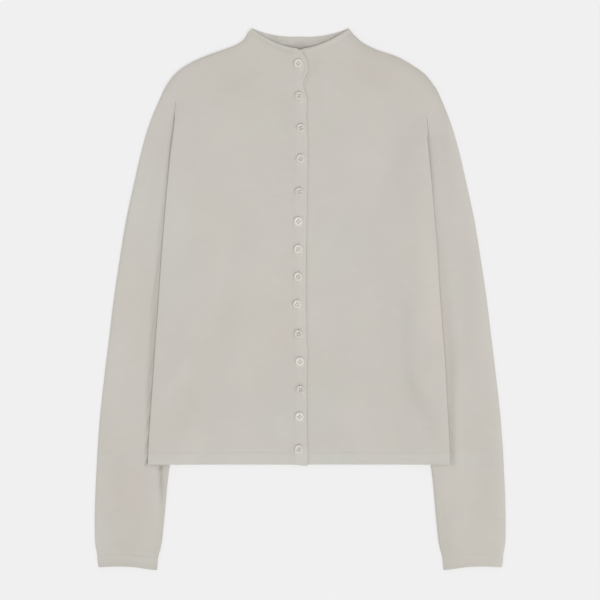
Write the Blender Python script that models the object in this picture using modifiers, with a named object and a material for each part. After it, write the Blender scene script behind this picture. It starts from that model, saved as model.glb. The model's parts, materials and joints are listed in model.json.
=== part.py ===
"""Button cardigan in fine knit, buttoned up and laid flat on its back.

Frame: X to the wearer's left, Y towards the neck, Z up from the surface it lies on.
The wearer's right is at -X. The back lies lowest, the fronts lie on it, and the two
flattened sleeves lie on the surface and pass under the body's side edges.
"""
import math
from collections import namedtuple

import bmesh
import bpy
from mathutils import Vector

MM = 0.001
RIGHT, LEFT = -1, 1

# Driving sizes, in millimetres
WALL = 1.2                # the knitted cloth
SEAM = 0.3                # between pieces that are joined or lie on each other
SLEEVE_LOFT = 4.0         # flattened sleeve, underside to top
SLEEVE_HEAD_LOFT = 2 * WALL + SEAM    # the same at the armhole, level with the body
CUFF_LOFT = 3.4
BODY_LIFT = SLEEVE_LOFT + SEAM        # how far the back rises over a sleeve
LIFT_RUN = 26.0           # the slope on which it rises
CREST_INSET = 8.0         # the slope ends this far inside the sleeve's hidden edge
CREST_REACH = 30.0        # the crest evens out the hidden edge over this much, up and down
BELLY = 1.4               # air between back and fronts at the middle
BAND_SEAM_X = 8.3         # front band seams, either side of the centre
LAP_RUN = 18.0            # the right front climbs onto the button band over this width
HEM_SEAM_Y = -202.3
HEM_Y = -218.4
FIRST_LEVEL_ROW_Y = 195.0
LEVEL_ROWS = 25           # body sections from there to the hem band
UPPER_STEPS = 2           # body sections for each one in the table above the side edges
EVEN_COLUMNS = 5
BUTTON_DIAMETER = 12.0
BUTTON_HEIGHT = 2.0
BUTTON_SIDES = 20
HOLE_DIAMETER = 1.5
HOLE_PITCH = 2.9
HOLE_SIDES = 6

# Body sections from the neck edge to where the side edge has lifted over the sleeve.
# back and front: Y at the centre; then the outline point on each side, X as a distance.
# sag: how far the section hangs under its chord; lift: share of BODY_LIFT at the side.
Section = namedtuple("Section", "back front right_x right_y left_x left_y sag lift")
UPPER_BODY = [
    Section(339.3, 322.0, 70.0, 349.6, 69.4, 349.6, 3.6, 0),     # neck seam
    Section(332.5, 315.5, 73.8, 342.8, 76.4, 342.8, 2.6, 0),
    Section(325.0, 309.0, 84.0, 335.2, 86.9, 335.2, 1.7, 0),     # foot of the funnel neck
    Section(317.0, 302.0, 104.6, 327.3, 104.1, 327.3, 1.0, 0),
    Section(308.0, 294.5, 126.7, 319.4, 127.6, 319.3, 0.5, 0),
    Section(298.0, 286.0, 150.2, 307.9, 148.3, 307.7, 0, 0),
    Section(287.0, 276.5, 166.7, 294.9, 166.0, 294.7, 0, 0),
    Section(275.0, 266.0, 178.5, 278.5, 181.2, 274.6, 0, 0),     # armhole seam meets the outline
    Section(254.0, 248.0, 163.6, 261.4, 166.6, 239.0, 0, 0),     # side edge begins
    Section(226.0, 223.0, 165.0, 238.0, 167.4, 212.0, 0, 1),     # side edge is over the sleeve
]
SEAM_ROW, LAP_ROW = 7, 9

# The body's side edges below that: Y, then the distance from the centre on each side
SideEdge = namedtuple("SideEdge", "y right left")
SIDE_EDGES = [
    SideEdge(195.0, 170.4, 168.8), SideEdge(150.0, 175.0, 173.2), SideEdge(104.0, 178.9, 176.9),
    SideEdge(58.0, 182.5, 180.8), SideEdge(7.0, 186.0, 183.8), SideEdge(-40.0, 189.4, 187.2),
    SideEdge(-73.0, 191.7, 190.0), SideEdge(-104.0, 193.6, 191.8), SideEdge(-136.0, 196.0, 193.3),
    SideEdge(-168.0, 198.3, 195.2), SideEdge(-202.3, 200.2, 196.8), SideEdge(-218.4, 200.8, 197.2),
]

# Sleeve sections from the armhole to the cuff: the outer fold and the inner fold
Sleeve = namedtuple("Sleeve", "outer_x outer_y inner_x inner_y")
SLEEVE_HEAD = Sleeve(0, 0, 119.1, 97.7)        # its outer point is the body's, on each side
SLEEVE_SECTIONS = [
    Sleeve(197.1, 236.3, 121.2, 84.0), Sleeve(209.0, 197.0, 124.3, 66.0),
    Sleeve(219.8, 150.0, 127.0, 45.0), Sleeve(229.7, 104.3, 129.8, 20.0),
    Sleeve(238.3, 51.5, 133.3, -10.0), Sleeve(246.1, -1.3, 138.4, -45.0),
    Sleeve(252.5, -54.1, 144.2, -85.0), Sleeve(258.9, -106.9, 150.8, -126.7),
    Sleeve(264.5, -159.7, 161.4, -172.9), Sleeve(268.1, -212.5, 172.4, -221.8),
    Sleeve(270.5, -265.3, 177.3, -268.0), Sleeve(271.0, -305.0, 181.0, -307.0),
    Sleeve(269.8, -338.0, 185.6, -341.0),
]
CUFF_SECTIONS = [
    Sleeve(268.3, -338.3, 186.9, -341.3), Sleeve(267.4, -346.0, 187.9, -349.4),
    Sleeve(266.2, -353.8, 189.0, -357.0),
]
# Sleeve columns, as shares of a section; at the head they stand on the side edge's corners
SLEEVE_COLUMNS = (0.0, 0.15, 0.28, 0.46, 0.64, 0.82, 1.0)
CUFF_BOW = (0.0, 1.1, 1.9, 2.3, 1.9, 0.4, -0.6)       # how far the cuff curves up at each column
BOW_STARTS = 0.6          # share of the sleeve's length from which it follows the cuff's curve
HEAD_STRAIGHTENS = 0.35   # share of the sleeve's length in which the slanted head fades out
HEAD_FILLS = 0.2          # share in which it reaches its full loft

# Columns across the slope: share of the slope, of the lift, of the air above the back
Slope = namedtuple("Slope", "run lift air")
SLOPE_COLUMNS = [Slope(0, 0, 1.0), Slope(0.33, 0.25, 0.9), Slope(0.67, 0.75, 0.75), Slope(1, 1, 0.6)]

# Air between back and front at the centre, as a share of BELLY
Air = namedtuple("Air", "y share")
CENTRE_AIR = [Air(345.0, 1.5), Air(300.0, 1.2), Air(200.0, 1.0), Air(-150.0, 0.9), Air(-220.0, 0.6)]

# Soft ridges of the fronts: from, to, half width, height
Fold = namedtuple("Fold", "x0 y0 x1 y1 width height")
FOLDS = [
    Fold(-58, 300, -112, 214, 16, 0.9), Fold(34, 304, 92, 226, 15, 1.0),
    Fold(-96, 96, -62, -34, 22, 0.8), Fold(100, 60, 76, -70, 20, 0.9),
    Fold(-128, -96, -176, -190, 14, 1.2), Fold(92, -110, 128, -205, 18, 1.0),
    Fold(-52, -120, -40, -200, 16, 0.8), Fold(46, -60, 58, -160, 18, 0.7),
]

# Outer edge of the top band: it buckles between the first two buttons
EdgePoint = namedtuple("EdgePoint", "y x")
TOP_BAND_EDGE = [
    EdgePoint(327.5, 1.8), EdgePoint(322.2, 5.2), EdgePoint(316.5, 8.5), EdgePoint(310.0, 10.2),
    EdgePoint(301.0, 10.4), EdgePoint(294.5, 7.2), EdgePoint(287.5, 4.4), EdgePoint(281.0, 4.4),
    EdgePoint(274.0, 6.8), EdgePoint(266.0, 8.8), EdgePoint(244.0, 8.4), EdgePoint(204.0, 10.0),
    EdgePoint(130.0, 9.0), EdgePoint(25.0, 7.8), EdgePoint(-56.0, 8.8), EdgePoint(-72.0, 10.1),
    EdgePoint(-90.0, 9.0), EdgePoint(-167.0, 9.0), EdgePoint(-205.0, 10.1), EdgePoint(-220.2, 9.4),
]
TOP_BAND_INNER_TOP = 331.2
UNDER_BAND_TOP = 331.0
UNDER_BAND_INNER_TOP = 326.5
BAND_STEP = 24.0
NECK_CURVE_Y = 287.0      # from here the bands' ends turn into the neck edge, over the next length
NECK_CURVE = 35.0

# Neck edge: Y at the band seam, the peak beside the neck, and the sag of its upper edge
NECK_PEAK = (63.3, 357.0)
NECK_EDGE_RIGHT_Y = 331.2
NECK_EDGE_LEFT_Y = 331.4
NECK_EDGE_BACK_Y = 346.2
NECK_EDGE_SAG = 3.8

# Button centres, from the neck down
ButtonPlace = namedtuple("ButtonPlace", "x y")
BUTTONS = [
    ButtonPlace(-2.6, 310.2), ButtonPlace(-1.2, 267.4), ButtonPlace(0.9, 225.2),
    ButtonPlace(0.5, 184.8), ButtonPlace(-1.2, 141.0), ButtonPlace(-2.6, 102.2),
    ButtonPlace(-2.8, 65.6), ButtonPlace(-2.6, 29.4), ButtonPlace(-3.9, -7.0),
    ButtonPlace(-2.2, -46.2), ButtonPlace(-0.4, -82.4), ButtonPlace(0.4, -119.6),
    ButtonPlace(-1.0, -155.0), ButtonPlace(-1.8, -198.0),
]

KNIT = (0.60, 0.575, 0.53, 1.0)
BAND_KNIT = (0.63, 0.605, 0.56, 1.0)
PEARL = (0.78, 0.76, 0.71, 1.0)
KNIT_ROUGHNESS = 0.9
PEARL_ROUGHNESS = 0.25


def clear_scene():
    for obj in list(bpy.data.objects):
        bpy.data.objects.remove(obj)


def new_collection(name):
    collection = bpy.data.collections.new(name)
    bpy.context.scene.collection.children.link(collection)
    return collection


def finish_material(name, colour, roughness=KNIT_ROUGHNESS):
    material = bpy.data.materials.new(name)
    material.use_nodes = True
    shader = material.node_tree.nodes["Principled BSDF"]
    shader.inputs["Base Color"].default_value = colour
    shader.inputs["Roughness"].default_value = roughness
    shader.inputs["Metallic"].default_value = 0.0
    return material


def smoothstep(value):
    value = min(max(value, 0.0), 1.0)
    return value * value * (3.0 - 2.0 * value)


def spline(points, per_span):
    """Catmull-Rom curve through the points, with per_span steps between each two."""
    ends = [points[0] * 2 - points[1]] + points + [points[-1] * 2 - points[-2]]
    curve = []
    for a, b, c, d in zip(ends, ends[1:], ends[2:], ends[3:]):
        for step in range(per_span):
            t = step / per_span
            curve.append((b * 2 + (c - a) * t + (a * 2 - b * 5 + c * 4 - d) * t ** 2
                          + (b * 3 - a - c * 3 + d) * t ** 3) / 2)
    return curve + [points[-1]]


def look_up(table, key, y):
    """Value of the named column at height y, eased between rows that run downwards."""
    if y >= table[0].y:
        return getattr(table[0], key)
    for index, (above, below) in enumerate(zip(table, table[1:])):
        if y >= below.y:
            before, after = table[max(index - 1, 0)], table[min(index + 2, len(table) - 1)]
            high, low = getattr(above, key), getattr(below, key)
            span = below.y - above.y
            share = (y - above.y) / span
            leave = (low - getattr(before, key)) / (below.y - before.y) * span
            arrive = (getattr(after, key) - high) / (after.y - above.y) * span
            ease = smoothstep(share)
            return (high * (1 - ease) + low * ease
                    + leave * share * (1 - share) ** 2 - arrive * share ** 2 * (1 - share))
    return getattr(table[-1], key)


def side_value(side, right, left):
    return right if side == RIGHT else left


def centre_air(y):
    return BELLY * look_up(CENTRE_AIR, "share", y)


def band_level(y):
    """Underside of the button band and of the fronts at their band seams."""
    return WALL + SEAM + centre_air(y)


def fold_height(x, y):
    total = 0.0
    for fold in FOLDS:
        start = Vector((fold.x0, fold.y0))
        run = Vector((fold.x1, fold.y1)) - start
        along = (Vector((x, y)) - start).dot(run) / run.length_squared
        taper = math.sin(math.pi * min(max(along, 0.0), 1.0))
        away = (Vector((x, y)) - start - run * along).length
        total += fold.height * taper * math.exp(-(away / fold.width) ** 2)
    return total


# --- Body -----------------------------------------------------------------------------

def sleeve_under(side, y):
    """Distance from the centre of the sleeve's hidden edge near height y."""
    lap = UPPER_BODY[LAP_ROW]
    top = (side_value(side, lap.right_x, lap.left_x), side_value(side, lap.right_y, lap.left_y))
    route = [top, (SLEEVE_HEAD.inner_x, SLEEVE_HEAD.inner_y)]
    route += [(row.inner_x, row.inner_y) for row in SLEEVE_SECTIONS]
    edge = [EdgePoint(edge_y, edge_x) for edge_x, edge_y in route]
    near = [y + CREST_REACH * share for share in (-1.0, -0.5, 0.0, 0.5, 1.0)]
    return sum(look_up(edge, "x", near_y) for near_y in near) / len(near)


def upper_sections():
    """Sections from the neck down: smooth to the armhole seam, then straight between corners."""
    smooth = spline([Vector(section) for section in UPPER_BODY[:SEAM_ROW + 1]], UPPER_STEPS)
    corners = [Vector(section) for section in UPPER_BODY[SEAM_ROW:]]
    straight = [above.lerp(below, step / UPPER_STEPS) for above, below in zip(corners, corners[1:])
                for step in range(1, UPPER_STEPS + 1)]
    return [Section(*values) for values in smooth + straight]


def body_rows(side):
    """Each body section as (centre Y of back, of front, outline X and Y, sag, lift, hidden edge)."""
    rows = []
    for section in upper_sections():
        outer_x = side_value(side, section.right_x, section.left_x)
        outer_y = side_value(side, section.right_y, section.left_y)
        hidden = outer_x
        rows.append((section.back, section.front, outer_x, outer_y, section.sag, section.lift, hidden))
    for step in range(LEVEL_ROWS):
        y = FIRST_LEVEL_ROW_Y + (HEM_SEAM_Y - FIRST_LEVEL_ROW_Y) * step / (LEVEL_ROWS - 1)
        outer_x = look_up(SIDE_EDGES, side_value(side, "right", "left"), y)
        rows.append((y, y, outer_x, y, 0.0, 1, sleeve_under(side, y)))
    return rows


def hem_rows(side):
    """The hem band's two sections, just below the seam and at the bottom edge."""
    rows = []
    for y in (HEM_SEAM_Y - SEAM, HEM_Y):
        outer_x = look_up(SIDE_EDGES, side_value(side, "right", "left"), y)
        rows.append((y, y, outer_x, y, 0.0, 1, sleeve_under(side, y)))
    return rows


def column_stops(inner_x, outer_x, hidden_x):
    """Column distances from the centre, each with its share of the lift and of the air."""
    crest = min(hidden_x, outer_x) - CREST_INSET
    foot = crest - LIFT_RUN
    start = inner_x + LAP_RUN
    stops = [(inner_x, 0, 1), (inner_x + LAP_RUN / 2, 0, 1)]
    stops += [(start + (foot - start) * k / EVEN_COLUMNS, 0, 1) for k in range(EVEN_COLUMNS)]
    stops += [(foot + LIFT_RUN * slope.run, slope.lift, slope.air) for slope in SLOPE_COLUMNS]
    stops += [((crest + outer_x) / 2, 1, 0.4), (outer_x, 1, 0)]
    return stops


def body_grid(side, inner_x, rows, front, inner_top=None):
    """Underside points of one half of the back or of one front, row by row from the neck."""
    grid = []
    for index, (back_y, front_y, outer_x, outer_y, sag, lift, hidden) in enumerate(rows):
        mid_y = front_y if front else back_y
        if inner_top is not None and index == 0:
            mid_y = inner_top
        points = []
        for distance, lift_share, air_share in column_stops(inner_x, outer_x, hidden):
            along = (distance - inner_x) / (outer_x - inner_x)
            x = side * distance
            y = mid_y + (outer_y - mid_y) * along - sag * 4 * along * (1 - along)
            z = BODY_LIFT * lift * lift_share
            if front:
                z += WALL + SEAM + centre_air(mid_y) * air_share + fold_height(x, y) * air_share
                if side == RIGHT:
                    z += (WALL + SEAM) * (1 - smoothstep((distance - inner_x) / LAP_RUN))
            points.append(Vector((x, y, z)))
        grid.append(points)
    return grid


def join_halves(right_grid, left_grid):
    """Full-width rows from a right and a left half that share their centre points."""
    return [list(reversed(right)) + left[1:] for right, left in zip(right_grid, left_grid)]


def sheet(name, grid, collection, parent, material):
    """Cloth sheet: the grid is its underside, and the wall stands on it."""
    mesh = bpy.data.meshes.new(name)
    bm = bmesh.new()
    verts = [[bm.verts.new(point * MM) for point in row] for row in grid]
    for upper, lower in zip(verts, verts[1:]):
        for k in range(len(upper) - 1):
            bm.faces.new((upper[k], lower[k], lower[k + 1], upper[k + 1]))
    bmesh.ops.recalc_face_normals(bm, faces=bm.faces)
    if sum(face.normal.z for face in bm.faces) < 0:
        bmesh.ops.reverse_faces(bm, faces=bm.faces)
    bmesh.ops.triangulate(bm, faces=bm.faces, quad_method="FIXED")
    bm.to_mesh(mesh)
    bm.free()
    mesh.materials.append(material)
    obj = bpy.data.objects.new(name, mesh)
    collection.objects.link(obj)
    obj.parent = parent
    wall = obj.modifiers.new("wall", "SOLIDIFY")
    wall.thickness = WALL * MM
    wall.offset = 1.0
    return obj


def build_body(collection, parent):
    right_rows, left_rows = body_rows(RIGHT), body_rows(LEFT)
    back = join_halves(body_grid(RIGHT, 0.0, right_rows, False), body_grid(LEFT, 0.0, left_rows, False))
    sheet("back", back, collection, parent, finish_material("back_knit", KNIT))
    hem = join_halves(body_grid(RIGHT, 0.0, hem_rows(RIGHT), False),
                      body_grid(LEFT, 0.0, hem_rows(LEFT), False))
    sheet("hem_back", hem, collection, parent, finish_material("hem_back_knit", BAND_KNIT))
    for side, word in ((RIGHT, "right"), (LEFT, "left")):
        name = f"{word}_front"
        grid = body_grid(side, BAND_SEAM_X, body_rows(side), True)
        sheet(name, grid, collection, parent, finish_material(f"{name}_knit", KNIT))
        name = f"hem_{word}"
        grid = body_grid(side, BAND_SEAM_X, hem_rows(side), True)
        sheet(name, grid, collection, parent, finish_material(f"{name}_knit", BAND_KNIT))


# --- Neck edge and front bands ----------------------------------------------------------

def neck_edge_grid(side, inner_x, front, top_y):
    """A neck edge strip: its lower row is the panel's first row, just clear of it."""
    panel_row = body_grid(side, inner_x, body_rows(side)[:1], front)[0]
    peak_x, peak_y = NECK_PEAK
    upper = []
    for point in panel_row:
        along = (abs(point.x) - inner_x) / (abs(panel_row[-1].x) - inner_x)
        x = side * (inner_x + (peak_x - inner_x) * along)
        y = top_y + (peak_y - top_y) * along - NECK_EDGE_SAG * 4 * along * (1 - along)
        upper.append(Vector((x, y, point.z)))
    lower = [point + Vector((0, SEAM, 0)) for point in panel_row]
    return [upper, lower]


def build_neck_edge(collection, parent):
    tops = (("neck_band_right", RIGHT, NECK_EDGE_RIGHT_Y), ("neck_band_left", LEFT, NECK_EDGE_LEFT_Y))
    for name, side, top_y in tops:
        grid = neck_edge_grid(side, BAND_SEAM_X, True, top_y)
        sheet(name, grid, collection, parent, finish_material(f"{name}_knit", BAND_KNIT))
    halves = [neck_edge_grid(side, 0.0, False, NECK_EDGE_BACK_Y) for side in (RIGHT, LEFT)]
    sheet("neck_band_back", join_halves(*halves), collection, parent,
          finish_material("neck_band_back_knit", BAND_KNIT))


def band_heights(top, bottom):
    count = round((top - bottom) / BAND_STEP)
    return [top + (bottom - top) * k / count for k in range(count + 1)]


def build_bands(collection, parent):
    """The buttonhole band lies on the button band; both run from the neck to the hem."""
    edge_bottom = TOP_BAND_EDGE[-1].y
    heights = [row.y for row in TOP_BAND_EDGE]
    extra = [y for y in band_heights(heights[0], edge_bottom)
             if min(abs(y - known) for known in heights) > BAND_STEP / 2]
    top_grid = []
    for y in sorted(heights + extra, reverse=True):
        edge_x = look_up(TOP_BAND_EDGE, "x", y)
        inner_y = min(y + (TOP_BAND_INNER_TOP - heights[0]) * smoothstep((y - NECK_CURVE_Y) / NECK_CURVE),
                      TOP_BAND_INNER_TOP)
        if y < HEM_SEAM_Y:
            inner_y = max(y, HEM_Y)
        z = band_level(y) + WALL + SEAM
        inner = Vector((-BAND_SEAM_X + SEAM, inner_y, z))
        outer = Vector((edge_x, y, z))
        top_grid.append([inner, (inner + outer) / 2, outer])
    sheet("right_front_band", top_grid, collection, parent,
          finish_material("right_front_band_knit", BAND_KNIT))
    under_grid = []
    for y in band_heights(UNDER_BAND_TOP, HEM_Y):
        drop = (UNDER_BAND_TOP - UNDER_BAND_INNER_TOP) * smoothstep((y - NECK_CURVE_Y) / NECK_CURVE)
        z = band_level(y)
        inner = Vector((-BAND_SEAM_X + 2 * SEAM, y - drop, z))
        outer = Vector((BAND_SEAM_X - SEAM, y, z))
        under_grid.append([inner, (inner + outer) / 2, outer])
    sheet("left_front_band", under_grid, collection, parent,
          finish_material("left_front_band_knit", BAND_KNIT))


# --- Sleeves ----------------------------------------------------------------------------

def head_points(side):
    """The sleeve head, column by column: down the seam and side edge, then under the body."""
    rows = UPPER_BODY[SEAM_ROW:LAP_ROW + 1]
    clear = Vector((SEAM, -SEAM))
    corners = [Vector((side_value(side, row.right_x, row.left_x),
                       side_value(side, row.right_y, row.left_y))) + clear for row in rows]
    end = Vector((SLEEVE_HEAD.inner_x, SLEEVE_HEAD.inner_y))
    last = SLEEVE_COLUMNS[2]
    hidden = [corners[2].lerp(end, (share - last) / (1 - last)) for share in SLEEVE_COLUMNS[3:]]
    return corners + hidden


def head_offset(head, share):
    """How far the head's curve stands off its own chord at this share of the section."""
    for k in range(len(SLEEVE_COLUMNS) - 1):
        low, high = SLEEVE_COLUMNS[k], SLEEVE_COLUMNS[k + 1]
        if share <= high:
            on_curve = head[k].lerp(head[k + 1], (share - low) / (high - low))
            return on_curve - head[0].lerp(head[-1], share)
    return Vector((0, 0))


def cuff_bow(share):
    """The cuff's curve at this share of a section, as an offset in plan."""
    for low, high, near, far in zip(SLEEVE_COLUMNS, SLEEVE_COLUMNS[1:], CUFF_BOW, CUFF_BOW[1:]):
        if share <= high:
            return Vector((0, near + (far - near) * (share - low) / (high - low)))
    return Vector((0, CUFF_BOW[-1]))


def section_loop(outer, inner, offset_at, radius, inset):
    """One closed loop of a flattened tube, inset from its outer surface."""
    width = (inner - outer).length
    arc = radius - inset
    turns = [math.pi * k / 4 for k in range(5)]
    loop = []

    def place(distance, z):
        share = distance / width
        flat = outer.lerp(inner, share) + offset_at(share)
        loop.append((flat.x, flat.y, z))

    for turn in turns:
        place(radius - arc * math.sin(turn), radius - arc * math.cos(turn))
    for share in SLEEVE_COLUMNS[1:-1]:
        place(share * width, radius + arc)
    for turn in turns:
        place(width - radius + arc * math.sin(turn), radius + arc * math.cos(turn))
    for share in reversed(SLEEVE_COLUMNS[1:-1]):
        place(share * width, radius - arc)
    return loop


def flat_tube(name, side, loops, collection, parent, material):
    """Walled tube, open at both ends, from pairs of outer and inner section loops."""
    mesh = bpy.data.meshes.new(name)
    bm = bmesh.new()
    rings = []
    for pair in loops:
        rings.append([[bm.verts.new(Vector((side * x, y, z)) * MM) for x, y, z in loop] for loop in pair])
    count = len(rings[0][0])
    for upper, lower in zip(rings, rings[1:]):
        for wall in (0, 1):
            for k in range(count):
                n = (k + 1) % count
                bm.faces.new((upper[wall][k], upper[wall][n], lower[wall][n], lower[wall][k]))
    for end in (rings[0], rings[-1]):
        for k in range(count):
            n = (k + 1) % count
            bm.faces.new((end[0][k], end[0][n], end[1][n], end[1][k]))
    bmesh.ops.triangulate(bm, faces=bm.faces, quad_method="FIXED")
    bmesh.ops.recalc_face_normals(bm, faces=bm.faces)
    bm.to_mesh(mesh)
    bm.free()
    mesh.materials.append(material)
    obj = bpy.data.objects.new(name, mesh)
    collection.objects.link(obj)
    obj.parent = parent
    return obj


def build_sleeve(side, word, collection, parent):
    head = head_points(side)
    outer_route = [head[0]] + [Vector((row.outer_x, row.outer_y)) for row in SLEEVE_SECTIONS]
    inner_route = [head[-1]] + [Vector((row.inner_x, row.inner_y)) for row in SLEEVE_SECTIONS]
    outers, inners = spline(outer_route, 2), spline(inner_route, 2)
    loops = []
    for index, (outer, inner) in enumerate(zip(outers, inners)):
        down = index / (len(outers) - 1)
        fade = (1 - smoothstep(down / HEAD_STRAIGHTENS))
        bow = smoothstep((down - BOW_STARTS) / (1 - BOW_STARTS))
        loft = SLEEVE_HEAD_LOFT + (SLEEVE_LOFT - SLEEVE_HEAD_LOFT) * smoothstep(down / HEAD_FILLS)

        def offset_at(share, fade=fade, bow=bow):
            return head_offset(head, share) * fade + cuff_bow(share) * bow

        loops.append([section_loop(outer, inner, offset_at, loft / 2, inset) for inset in (0.0, WALL)])
    name = f"{word}_sleeve"
    flat_tube(name, side, loops, collection, parent, finish_material(f"{name}_knit", KNIT))


def build_cuff(side, word, collection, parent):
    loops = []
    for row in CUFF_SECTIONS:
        outer, inner = Vector((row.outer_x, row.outer_y)), Vector((row.inner_x, row.inner_y))
        loops.append([section_loop(outer, inner, cuff_bow, CUFF_LOFT / 2, inset) for inset in (0.0, WALL)])
    name = f"cuff_{word}"
    flat_tube(name, side, loops, collection, parent, finish_material(f"{name}_knit", BAND_KNIT))


# --- Buttons ----------------------------------------------------------------------------

def turned_button(collection, cutters):
    """Button blank from a turned profile, with four holes cut through its dished middle."""
    radius, height = BUTTON_DIAMETER / 2, BUTTON_HEIGHT
    profile = [(0, 0.62 * height), (0.55 * radius, 0.62 * height), (0.72 * radius, height),
               (0.92 * radius, 0.94 * height), (radius, 0.55 * height), (0.86 * radius, 0), (0, 0)]
    mesh = bpy.data.meshes.new("button_profile")
    mesh.from_pydata([(x * MM, 0, z * MM) for x, z in profile],
                     [(k, k + 1) for k in range(len(profile) - 1)], [])
    blank = bpy.data.objects.new("button_blank", mesh)
    collection.objects.link(blank)
    turn = blank.modifiers.new("turn", "SCREW")
    turn.steps = turn.render_steps = BUTTON_SIDES
    turn.use_merge_vertices = True
    turn.merge_threshold = 0.00001
    cutter_mesh = bpy.data.meshes.new("button_holes")
    bm = bmesh.new()
    for sx in (-1, 1):
        for sy in (-1, 1):
            made = bmesh.ops.create_cone(bm, cap_ends=True, segments=HOLE_SIDES,
                                         radius1=HOLE_DIAMETER / 2 * MM, radius2=HOLE_DIAMETER / 2 * MM,
                                         depth=4 * height * MM)
            bmesh.ops.translate(bm, verts=made["verts"],
                                vec=Vector((sx, sy, 0)) * (HOLE_PITCH / 2 * MM))
    bm.to_mesh(cutter_mesh)
    bm.free()
    cutter = bpy.data.objects.new("button_holes", cutter_mesh)
    cutter.hide_render = True
    cutter.display_type = "WIRE"
    cutters.objects.link(cutter)
    holes = blank.modifiers.new("holes", "BOOLEAN")
    holes.operation = "DIFFERENCE"
    holes.object = cutter
    depsgraph = bpy.context.evaluated_depsgraph_get()
    finished = bpy.data.meshes.new_from_object(blank.evaluated_get(depsgraph))
    finished.name = "button"
    bpy.data.objects.remove(blank)
    return finished


def build_buttons(collection, cutters, parent):
    mesh = turned_button(collection, cutters)
    mesh.materials.append(finish_material("button_pearl", PEARL, PEARL_ROUGHNESS))
    mesh.shade_smooth()
    mesh.set_sharp_from_angle(angle=math.radians(35))
    for number, place in enumerate(BUTTONS, start=1):
        button = bpy.data.objects.new(f"button_{number:02d}", mesh)
        z = band_level(place.y) + 2 * (WALL + SEAM) + SEAM
        button.location = Vector((place.x, place.y, z)) * MM
        button.parent = parent
        collection.objects.link(button)


def main():
    clear_scene()
    collection = new_collection("button_cardigan")
    cutters = new_collection("cutters")
    root = bpy.data.objects.new("cardigan", None)
    collection.objects.link(root)
    build_body(collection, root)
    build_neck_edge(collection, root)
    build_bands(collection, root)
    for side, word in ((RIGHT, "right"), (LEFT, "left")):
        build_sleeve(side, word, collection, root)
        build_cuff(side, word, collection, root)
    build_buttons(collection, cutters, root)


main()
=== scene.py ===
"""Looks of a fine-knit button cardigan, buttoned up and laid flat: cloth, edges, stitching, buttons."""
import json
import math
from collections import namedtuple
from functools import cache, partialmethod

import bmesh
import bpy
import numpy as np
from bpy.props import FloatProperty, FloatVectorProperty, PointerProperty
from mathutils import Matrix, Vector, kdtree, noise
from mathutils.bvhtree import BVHTree


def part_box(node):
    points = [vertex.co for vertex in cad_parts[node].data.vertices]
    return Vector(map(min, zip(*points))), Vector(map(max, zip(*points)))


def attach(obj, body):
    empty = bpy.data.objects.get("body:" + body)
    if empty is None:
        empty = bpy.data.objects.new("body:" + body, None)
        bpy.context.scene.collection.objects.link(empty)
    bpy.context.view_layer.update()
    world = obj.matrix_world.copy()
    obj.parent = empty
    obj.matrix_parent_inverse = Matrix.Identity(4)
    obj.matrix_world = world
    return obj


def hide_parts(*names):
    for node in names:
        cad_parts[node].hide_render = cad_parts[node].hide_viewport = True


bl_info = {
    "name": "Button Cardigan",
    "version": (1, 0, 0),
    "blender": (4, 5, 0),
    "location": "View3D > Sidebar > Cardigan",
    "description": "Cloth, edges, stitching and buttons of a fine-knit cardigan laid flat",
    "category": "Object",
}

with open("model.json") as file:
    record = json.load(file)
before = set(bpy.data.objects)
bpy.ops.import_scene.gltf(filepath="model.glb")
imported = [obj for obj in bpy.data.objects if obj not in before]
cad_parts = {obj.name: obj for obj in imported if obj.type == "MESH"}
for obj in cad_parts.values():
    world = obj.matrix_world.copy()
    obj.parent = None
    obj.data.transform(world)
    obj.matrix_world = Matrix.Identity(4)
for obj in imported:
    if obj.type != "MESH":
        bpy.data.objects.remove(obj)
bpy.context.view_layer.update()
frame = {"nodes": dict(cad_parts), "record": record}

MM = 0.001
SAME = 1e-6  # lengths (m) and shares closer than this are the same
BODY = "root"
SIDES = ((-1, "right"), (1, "left"))
BUTTON_NODES = sorted(name for name in frame["nodes"] if name.startswith("button_"))
SLOTS = {part["node"]: part["material_slot"] for part in frame["record"]["subparts"]}
UP, DOWN = Vector((0, 0, 1)), Vector((0, 0, -1))


# --- Sizes and colours that a user would change ---

def number(name, description, default, unit="NONE"):
    return FloatProperty(name=name, description=description, default=default, unit=unit)


def measure(name, description, millimetres):
    return number(name, description, millimetres * MM, "LENGTH")


def tint(name, description, default):
    return FloatVectorProperty(name=name, description=description, default=default, subtype="COLOR")


class CardiganCloth(bpy.types.PropertyGroup):
    wall: measure("Wall", "Thickness of the knit", 1.1)
    cell: measure("Cell", "Mesh cell of the large pieces", 3.2)
    roll: measure("Edge roll", "Width over which a folded edge rounds off", 2.6)
    wale: measure("Wale", "Width of one stitch", 1.0)
    course: measure("Course", "Height of one row", 0.78)
    wave: measure("Waviness", "Height of the cloth's soft unevenness", 0.30)
    stitch: measure("Stitch", "Distance between linking stitches", 1.7)
    colour: tint("Cloth", "Colour of the knit", (0.607, 0.578, 0.532))


class CardiganButtons(bpy.types.PropertyGroup):
    rim: measure("Rim", "Width of the raised rim", 1.3)
    hole: measure("Hole", "Diameter of a thread hole", 1.5)
    pitch: measure("Hole pitch", "Distance between holes", 2.9)
    thread: measure("Thread", "Diameter of the sewing thread", 0.5)
    pearl: tint("Pearl", "Colour of the buttons", (0.60, 0.572, 0.52))


class CardiganStage(bpy.types.PropertyGroup):
    floor_colour: tint("Floor", "Colour of the surface below", (0.35, 0.35, 0.35))
    floor_glow: number("Floor glow", "Light from within the surface below", 0.525)
    picture: measure("Picture", "Width of floor in the picture", 792)
    distance: measure("Distance", "Height of the camera", 3000)
    sky: number("Sky", "Strength of the even light", 0.62)
    key: number("Key", "Strength of the soft key light", 1.2)


def settings():
    scene = bpy.context.scene
    return scene.cardigan_cloth, scene.cardigan_buttons, scene.cardigan_stage


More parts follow.
